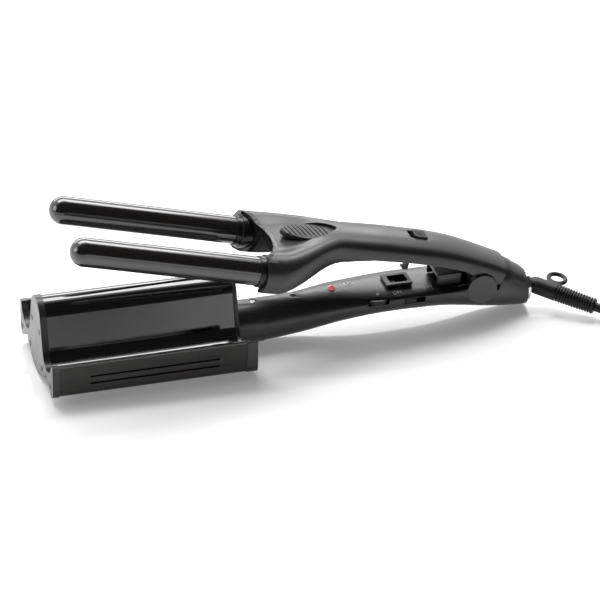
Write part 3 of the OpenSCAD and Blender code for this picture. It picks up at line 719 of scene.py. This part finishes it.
class WAVER_OT_cord(bpy.types.Operator):
    """Add the mains cord in its coil, with its two-pin plug"""

    bl_idname = "waver.cord"
    bl_label = "Cord and Plug"

    def execute(self, context):
        sizes = context.scene.waver_sizes
        place = plug_frame(sizes)
        shell = plug_body_mesh()
        body = add_piece("plug_shell", shell, place, "lower_body", "cord_rubber", ["plug_body"])
        pins = bmesh.new()
        foot, shoulder = PIN_X
        for side in (-1, 1):
            tip = arc(90, 0, (shoulder, 0), PIN_R, 6)
            pin = lathe([(foot, 0), (foot, PIN_R)] + tip, 24)
            bmesh.ops.translate(pin, vec=(0, side * PIN_Y, 0), verts=pin.verts)
            merge_into(pins, pin)
        pins = add_piece("plug_contacts", pins, place, "lower_body", "pin_brass", ["plug_pins"])
        add_cord(sizes)
        return {"FINISHED"}


# ---- jaw -----------------------------------------------------------------------------
def sweep(bm, vert, centre, angle, steps):
    """Draws an arc from a vertex about a centre in the YZ plane, and returns its last vertex."""
    made = bmesh.ops.spin(
        bm, geom=[vert], cent=(0, *centre), axis=(1, 0, 0), angle=radians(angle), steps=steps
    )
    return next(item for item in made["geom_last"] if isinstance(item, bmesh.types.BMVert))


def draw_to(bm, vert, y, z):
    """Draws a straight edge from a vertex, and returns its end."""
    end = bm.verts.new((0, y, z))
    bm.edges.new((vert, end))
    return end


def wave_outline(bm, sizes):
    """Half of the plate's upper outline, from the ridge's top to the outside of the lip."""
    pitch, ridge, trough = mm(sizes.half_pitch), mm(sizes.ridge_r), mm(sizes.trough_r)
    drop, lip_drop, lip_y = mm(sizes.trough_drop), mm(sizes.lip_drop), mm(sizes.lip_y)
    ridge_c, trough_c = (0, -ridge), (pitch, trough - drop)
    rise, run = ridge_c[1] - trough_c[1], pitch
    span = sqrt(rise * rise + run * run)
    flank = degrees(acos((ridge + trough) / span)) - degrees(asin(rise / span))
    lip_h = drop - lip_drop
    lip_r = ((lip_y - pitch) ** 2 + lip_h**2) / (2 * lip_h)
    lip_c = (pitch, lip_r - drop)
    point = bm.verts.new((0, 0, 0))
    point = sweep(bm, point, ridge_c, flank - 90, 14)
    normal = Vector((cos(radians(flank)), sin(radians(flank))))
    foot = Vector(trough_c) - trough * normal
    point = draw_to(bm, point, *foot)
    point = sweep(bm, point, trough_c, 90 - flank, 14)
    climb = degrees(asin((lip_c[1] + lip_drop) / lip_r))
    point = sweep(bm, point, lip_c, 90 - climb, 14)
    draw_to(bm, point, mm(sizes.side_y), -lip_drop)


class WAVER_OT_wave_plate(bpy.types.Operator):
    """Add the pressed wave plate with its gloss coating"""

    bl_idname = "waver.wave_plate"
    bl_label = "Wave Plate"

    def execute(self, context):
        sizes = context.scene.waver_sizes
        bm = bmesh.new()
        wave_outline(bm, sizes)
        bmesh.ops.mirror(bm, geom=bm.verts[:] + bm.edges[:], axis="Y", merge_dist=0.01)
        start, end = mm(sizes.plate_front), mm(sizes.plate_back)
        bmesh.ops.translate(bm, vec=(start, 0, 0), verts=bm.verts)
        drawn = bmesh.ops.extrude_edge_only(bm, edges=bm.edges[:])
        swept = [v for v in drawn["geom"] if isinstance(v, bmesh.types.BMVert)]
        bmesh.ops.translate(bm, vec=(end - start, 0, 0), verts=swept)
        bmesh.ops.remove_doubles(bm, verts=bm.verts, dist=0.01)
        bmesh.ops.recalc_face_normals(bm, faces=bm.faces)
        if max(bm.faces, key=lambda f: f.calc_center_median().z).normal.z < 0:
            bmesh.ops.reverse_faces(bm, faces=bm.faces)
        bmesh.ops.solidify(bm, geom=bm.faces[:], thickness=mm(sizes.plate_t))
        soften(bm, 0.25, 2, 40)
        add_piece("wave_plate_shell", bm, JAW, "lower_body", "plate_black", ["wave_plate"], 30)
        return {"FINISHED"}


class WAVER_OT_jaw(bpy.types.Operator):
    """Add the casing under the plate, its end caps and their screws"""

    bl_idname = "waver.jaw"
    bl_label = "Jaw Casing"

    def execute(self, context):
        refined("jaw_casing", 0.15, 2, 30)
        refined("front_cap", 0.4, 3, 30)
        refined("rear_cap", 0.4, 3, 30)
        refined("neck", 0.5, 3, 30)
        refined("cap_screws", 0.1, 2, 40)
        refined("rest_foot", 0.3, 2, 30)
        return {"FINISHED"}


# ---- arm -----------------------------------------------------------------------------
COLLAR_STEPS = [(134.5, 138.4, -0.6), (138.4, 143, 0.5), (143, 148, 0)]


class WAVER_OT_barrels(bpy.types.Operator):
    """Add the two round-ended barrels and their stepped collars"""

    bl_idname = "waver.barrels"
    bl_label = "Barrels and Collars"

    def execute(self, context):
        sizes = context.scene.waver_sizes
        radius, front, back = mm(sizes.barrel_r), mm(sizes.barrel_front), mm(sizes.barrel_back)
        rim = mm(sizes.collar_r)
        for side, name in ((-1, "near"), (1, "far")):
            place = ARM @ shift(0, side * mm(sizes.half_pitch), -mm(sizes.barrel_drop))
            dome = arc(180, 90, (front + radius, 0), radius, 16)
            node = name + "_barrel"
            barrel = lathe(dome + [(back, radius), (back, 0)], 72)
            add_piece(node + "_shell", barrel, place, "upper_arm", "barrel_black", [node], 50)
            collar = []
            for start, end, more in COLLAR_STEPS:
                collar += [(start, rim + more), (end, rim + more)]
            collar = [(collar[0][0], radius)] + collar + [(collar[-1][0], radius)]
            collar = lathe(collar, 72, closed=True)
            soften(collar, 0.25, 3, 40)
            node = name + "_collar"
            add_piece(node + "_shell", collar, place, "upper_arm", "collar_black", [node], 40)
        return {"FINISHED"}


class WAVER_OT_arm(bpy.types.Operator):
    """Add the upper arm's shell, yoke and liner"""

    bl_idname = "waver.arm"
    bl_label = "Upper Arm"

    def execute(self, context):
        refined("arm_shell", 0.35, 3, 34)
        refined("yoke_face", 0.2, 2, 34, slot="collar_black")
        refined("arm_liner", 0.2, 2, 34)
        return {"FINISHED"}


class WAVER_OT_thumb_pad(bpy.types.Operator):
    """Add the ribbed thumb pad"""

    bl_idname = "waver.thumb_pad"
    bl_label = "Thumb Pad"

    def execute(self, context):
        refined("thumb_pad", 0.25, 3, 30)
        return {"FINISHED"}


STUD = [(0, 0.462), (0.25, 0.42), (0.4, 0.231), (0.42, 0)]
STUD_PITCH = 1.5
STUD_FOOT = 0.38
LOCK_MIDDLE = 252.35


class WAVER_OT_lock_button(bpy.types.Operator):
    """Add the lock button with its raised dots"""

    bl_idname = "waver.lock_button"
    bl_label = "Lock Button"

    def execute(self, context):
        refined("lock_slider", 0.3, 3, 30)
        dots = bmesh.new()
        for row in range(-2, 3):
            for column in range(-2, 3):
                dot = stand_up(lathe(STUD, 12))
                place = (LOCK_MIDDLE + column * STUD_PITCH, row * STUD_PITCH, STUD_FOOT)
                bmesh.ops.translate(dot, vec=place, verts=dot.verts)
                merge_into(dots, dot)
        add_piece("lock_dots", dots, ARM, "lock", "control_black")
        return {"FINISHED"}


# ---- handle --------------------------------------------------------------------------
HEAD_CROWN = 0.62
HEAD_RIM = 0.5
CROSS_SLOT = 0.13
CROSS_ARM = 0.52
CROSS_DEPTH = 0.6
SHANK_R = 1.2
SHANK_BITE = 0.2
NECK_SCREWS = [
    ("neck_screw_front", 2.2, 1.1, (145.8, -23.4, -30), "screw_steel"),
    ("neck_screw_rear", 2.0, 0.8, (173.5, -23.8, -31), "control_black"),
]


def cross_head(radius, height, x, top):
    """A domed screw head with a cross recess."""
    bm = bmesh.new()
    rim = [(0, 0), (0, radius), (height * HEAD_RIM, radius)]
    merge_into(bm, lathe(rim + [(height, radius * HEAD_CROWN), (height, 0)], 32))
    stand_up(bm)
    slot, arm = radius * CROSS_SLOT, radius * CROSS_ARM
    for axis in ((1, 0, 0), (0, 1, 0)):
        for edge in (-arm, -slot, slot, arm):
            bmesh.ops.bisect_plane(
                bm, geom=bm.verts[:] + bm.edges[:] + bm.faces[:], dist=1e-5,
                plane_co=Vector(axis) * edge, plane_no=axis,
            )
    recess = []
    for f in bm.faces:
        c = f.calc_center_median()
        near, far = sorted((abs(c.x), abs(c.y)))
        if c.z > height * 0.9 and far < arm and near < slot:
            recess.append(f)
    sunk = bmesh.ops.extrude_face_region(bm, geom=recess)
    floor = [v for v in sunk["geom"] if isinstance(v, bmesh.types.BMVert)]
    bmesh.ops.translate(bm, vec=(0, 0, -height * CROSS_DEPTH), verts=floor)
    bmesh.ops.delete(bm, geom=recess, context="FACES")
    tidy(bm)
    bmesh.ops.translate(bm, vec=(x, 0, top - height), verts=bm.verts)
    return bm


class WAVER_OT_handle(bpy.types.Operator):
    """Add the lower handle's tray, cover, rear housing and screws"""

    bl_idname = "waver.handle"
    bl_label = "Lower Handle"

    def execute(self, context):
        refined("handle_tray", 0.25, 3, 32)
        refined("handle_cover", 0.25, 3, 32)
        refined("rear_housing", 0.3, 3, 32)
        refined("rear_cover", 0.3, 3, 32)
        refined("hinge_block", 1.2, 4, 30)
        for name, radius, height, (x, top, low), slot in NECK_SCREWS:
            screw = cross_head(radius, height, x, top)
            high = top - height + SHANK_BITE
            shank = stand_up(lathe([(low, 0), (low, SHANK_R), (high, SHANK_R), (high, 0)], 20))
            bmesh.ops.translate(shank, vec=(x, 0, 0), verts=shank.verts)
            merge_into(screw, shank)
            add_piece(name, screw, JAW, "lower_body", slot, ["neck_screws"])
        return {"FINISHED"}


LENS_R = 2.5
LENS_X = 200.2
LENS_HEIGHTS = (-26, -21.8)


class WAVER_OT_controls(bpy.types.Operator):
    """Add the latch socket, the lamp, the temperature wheel and the power slider"""

    bl_idname = "waver.controls"
    bl_label = "Controls"

    def execute(self, context):
        refined("latch_socket", 0.35, 3, 30)
        refined("temp_dial", 0.15, 2, 30)
        refined("power_slider", 0.2, 2, 30)
        foot, shoulder = LENS_HEIGHTS
        lens = [(foot, 0), (foot, LENS_R)] + arc(90, 0, (shoulder, 0), LENS_R, 10)
        lens = stand_up(lathe(lens, 40))
        bmesh.ops.translate(lens, vec=(LENS_X, 0, 0), verts=lens.verts)
        add_piece("lamp_lens", lens, JAW, "lower_body", "lamp_red", ["led_lamp"])
        return {"FINISHED"}


LETTER_LIFT = 0.12
LETTER_CUT = 0.7
POINTER_R = 1.7
POINTER_AT = (228.1, -12.6, 0)
LETTERING = [
    ("LED", (207.1, -0.36), (216.2, 1.22), 4.6),
    ("ON", (238.6, -15.5), (244.4, -15.15), 3.6),
    ("OFF", (260.6, -14.9), (267.2, -13.8), 3.8),
]


def word_mesh(word, width, height):
    """A word as a flat mesh of that width and height, cut small enough to bend."""
    text = bpy.data.curves.new("word", "FONT")
    text.body = word
    text.resolution_u = 3
    text.offset = 0.012
    text.space_character = 1.15
    holder = bpy.data.objects.new("word", text)
    bpy.context.scene.collection.objects.link(holder)
    bpy.context.view_layer.update()
    settled = holder.evaluated_get(bpy.context.evaluated_depsgraph_get())
    flat = bpy.data.meshes.new_from_object(settled)
    bpy.data.objects.remove(holder)
    bpy.data.curves.remove(text)
    bm = bmesh.new()
    bm.from_mesh(flat)
    bpy.data.meshes.remove(flat)
    low = Vector((min(v.co.x for v in bm.verts), min(v.co.y for v in bm.verts), 0))
    high = Vector((max(v.co.x for v in bm.verts), max(v.co.y for v in bm.verts), 0))
    bmesh.ops.translate(bm, vec=-low, verts=bm.verts)
    fit = (width / (high.x - low.x), height / (high.y - low.y), 1)
    bmesh.ops.scale(bm, vec=fit, verts=bm.verts)
    for axis, span in (((1, 0, 0), width), ((0, 1, 0), height)):
        for i in range(1, int(span / LETTER_CUT)):
            bmesh.ops.bisect_plane(
                bm, geom=bm.verts[:] + bm.edges[:] + bm.faces[:], dist=1e-4,
                plane_co=Vector(axis) * i * LETTER_CUT, plane_no=axis,
            )
    return bm


def print_on(bm, surface):
    """Drops flat print in the jaw frame onto a surface, and moves it to the row frame."""
    for v in bm.verts:
        above = JAW @ Vector((v.co.x, v.co.y, 20))
        hit, normal, _, _ = surface.ray_cast(above, -JAW.col[2].to_3d().normalized())
        if hit is None:
            raise RuntimeError("the lettering misses the handle's cover")
        if normal.z < 0:
            normal = -normal
        v.co = hit + normal * LETTER_LIFT * MM


class WAVER_OT_lettering(bpy.types.Operator):
    """Print the plain words and the wheel's pointer on the handle's cover"""

    bl_idname = "waver.lettering"
    bl_label = "Lettering"

    def execute(self, context):
        surface = surface_of("handle_cover")
        page = bmesh.new()
        for word, start, end, height in LETTERING:
            start, end = Vector(start), Vector(end)
            bm = word_mesh(word, (end - start).length, height)
            lean = Matrix.Rotation((end - start).angle_signed(Vector((1, 0))), 3, "Z")
            bmesh.ops.rotate(bm, cent=(0, 0, 0), matrix=lean, verts=bm.verts)
            bmesh.ops.translate(bm, vec=(*start, 0), verts=bm.verts)
            merge_into(page, bm)
        pointer = bmesh.new()
        bmesh.ops.create_circle(pointer, cap_ends=True, segments=3, radius=POINTER_R)
        aim = Matrix.Rotation(radians(-90), 3, "Z")
        bmesh.ops.rotate(pointer, cent=(0, 0, 0), matrix=aim, verts=pointer.verts)
        bmesh.ops.translate(pointer, vec=POINTER_AT, verts=pointer.verts)
        merge_into(page, pointer)
        print_on(page, surface)
        bmesh.ops.recalc_face_normals(page, faces=page.faces)
        for f in page.faces:
            if f.normal.z < 0:
                f.normal_flip()
        add_piece("handle_print", page, Matrix.Identity(4), "lower_body", "print_white")
        return {"FINISHED"}


# ---- rear end ------------------------------------------------------------------------
RING_X = (335.5, 338.1)
RING_R = (9.6, 10.4)
RING_Z = -38.6


class WAVER_OT_rear_ring(bpy.types.Operator):
    """Add the bright ring around the swivel"""

    bl_idname = "waver.rear_ring"
    bl_label = "Rear Ring"

    def execute(self, context):
        (front, back), (inner, outer) = RING_X, RING_R
        section = [(front, inner), (front, outer), (back, outer), (back, inner)]
        ring = lathe(section, 96, closed=True)
        soften(ring, 0.3, 4, 40)
        place = JAW @ shift(0, 0, RING_Z)
        add_piece("rear_ring_shell", ring, place, "lower_body", "ring_chrome", ["chrome_ring"], 60)
        return {"FINISHED"}


RIB_START = 24.5
RIB_PITCH = 1.9
RIBS = 14
GROOVE = 0.9
GROOVE_DEPTH = 1.1
BOOT_TAPER = 0.5
BOOT_GAP = 0.05
BALL_R = 5.6
BALL_NECK = [(6, 3.6), (9.2, 4.6), (9.2, 0)]
LOOP_R = 5.78
LOOP_SECTION = (1.62, 1.5, 1)
LOOP_AT = (19.5, 13, 2.4)
LINK_SIZE = (11, 5.4, 3)
LINK_AT = (19.5, 5.7, 2.4)


def boot_profile(radius, end, bore):
    """A smooth sleeve that runs out in ribs and grows slimmer to its end."""
    def slim(x):
        return radius - BOOT_TAPER * smooth((x - RIB_START) / (end - RIB_START))

    outline = [(4.6, bore), (4.6, radius - 2), (6, radius - 0.8), (9, radius - 0.1)]
    outline += [(12, radius), (RIB_START - 1, radius)]
    for i in range(RIBS):
        x = RIB_START + i * RIB_PITCH
        outline += [(x, slim(x)), (x, slim(x) - GROOVE_DEPTH)]
        outline += [(x + GROOVE, slim(x) - GROOVE_DEPTH), (x + GROOVE, slim(x))]
    outline += [(end - 0.6, slim(end)), (end, slim(end) - 0.6), (end, bore)]
    return outline


class WAVER_OT_strain_relief(bpy.types.Operator):
    """Add the swivel's ball, the ribbed strain relief and its hanging loop"""

    bl_idname = "waver.strain_relief"
    bl_label = "Swivel and Strain Relief"

    def execute(self, context):
        sizes = context.scene.waver_sizes
        radius, end = mm(sizes.boot_r), mm(sizes.boot_length)
        bore = mm(sizes.cord_d) / 2 + BOOT_GAP
        boot = lathe(boot_profile(radius, end, bore), 56, closed=True)
        soften(boot, 0.22, 2, 40)
        add_piece("strain_relief", boot, SWIVEL, "swivel", "cord_rubber", ["cord_boot"], 50)
        ball = lathe(arc(180, 25, (0, 0), BALL_R, 24) + BALL_NECK, 48)
        add_piece("swivel_ball", ball, SWIVEL, "swivel", "cord_rubber", ["cord_swivel"], 50)
        loop = bmesh.new()
        section = bmesh.ops.create_circle(loop, segments=20, radius=1)["verts"]
        bmesh.ops.scale(loop, vec=LOOP_SECTION, verts=section)
        upright = Matrix.Rotation(pi / 2, 3, "X")
        bmesh.ops.rotate(loop, cent=(0, 0, 0), matrix=upright, verts=section)
        bmesh.ops.translate(loop, vec=(LOOP_R, 0, 0), verts=section)
        bmesh.ops.spin(
            loop, geom=loop.verts[:] + loop.edges[:], cent=(0, 0, 0), axis=(0, 0, 1), angle=2 * pi,
            steps=56, use_merge=True,
        )
        bmesh.ops.translate(loop, vec=LOOP_AT, verts=loop.verts)
        tidy(loop)
        link = bmesh.new()
        bmesh.ops.create_cube(link, size=1)
        bmesh.ops.scale(link, vec=LINK_SIZE, verts=link.verts)
        bmesh.ops.translate(link, vec=LINK_AT, verts=link.verts)
        soften(link, 1.2, 4, 30)
        merge_into(loop, link)
        add_piece("hanging_loop", loop, SWIVEL, "swivel", "cord_rubber", ["hang_loop"], 50)
        return {"FINISHED"}


class WAVER_OT_inner_parts(bpy.types.Operator):
    """Give the parts inside the jaw, arm and handle their finishes"""

    bl_idname = "waver.inner_parts"
    bl_label = "Inner Parts"

    def execute(self, context):
        for name, node in NODES.items():
            node.data.materials.clear()
            node.data.materials.append(finish(SLOT_OF[name]))
        return {"FINISHED"}


class WAVER_PT_pieces(bpy.types.Panel):
    """Lists the operators of the hair waver"""

    bl_idname = "WAVER_PT_pieces"
    bl_label = "Hair Waver"
    bl_space_type = "VIEW_3D"
    bl_region_type = "UI"
    bl_category = "Hair Waver"

    def draw(self, context):
        for operator in OPERATORS:
            self.layout.operator(operator.bl_idname)
        for group in (context.scene.waver_sizes, context.scene.waver_colours):
            box = self.layout.box()
            for name in group.__annotations__:
                box.prop(group, name)


OPERATORS = (
    WAVER_OT_stage,
    WAVER_OT_cord,
    WAVER_OT_inner_parts,
    WAVER_OT_wave_plate,
    WAVER_OT_jaw,
    WAVER_OT_barrels,
    WAVER_OT_arm,
    WAVER_OT_thumb_pad,
    WAVER_OT_lock_button,
    WAVER_OT_handle,
    WAVER_OT_controls,
    WAVER_OT_lettering,
    WAVER_OT_rear_ring,
    WAVER_OT_strain_relief,
)
CLASSES = (WaverSizes, WaverColours, *OPERATORS, WAVER_PT_pieces)


def register():
    for item in CLASSES:
        bpy.utils.register_class(item)
    bpy.types.Scene.waver_sizes = PointerProperty(type=WaverSizes)
    bpy.types.Scene.waver_colours = PointerProperty(type=WaverColours)


def unregister():
    del bpy.types.Scene.waver_colours
    del bpy.types.Scene.waver_sizes
    for item in reversed(CLASSES):
        bpy.utils.unregister_class(item)


def main():
    register()
    for operator in OPERATORS:
        family, name = operator.bl_idname.split(".")
        getattr(getattr(bpy.ops, family), name)()
    bpy.context.view_layer.update()


if __name__ == "__main__":
    main()
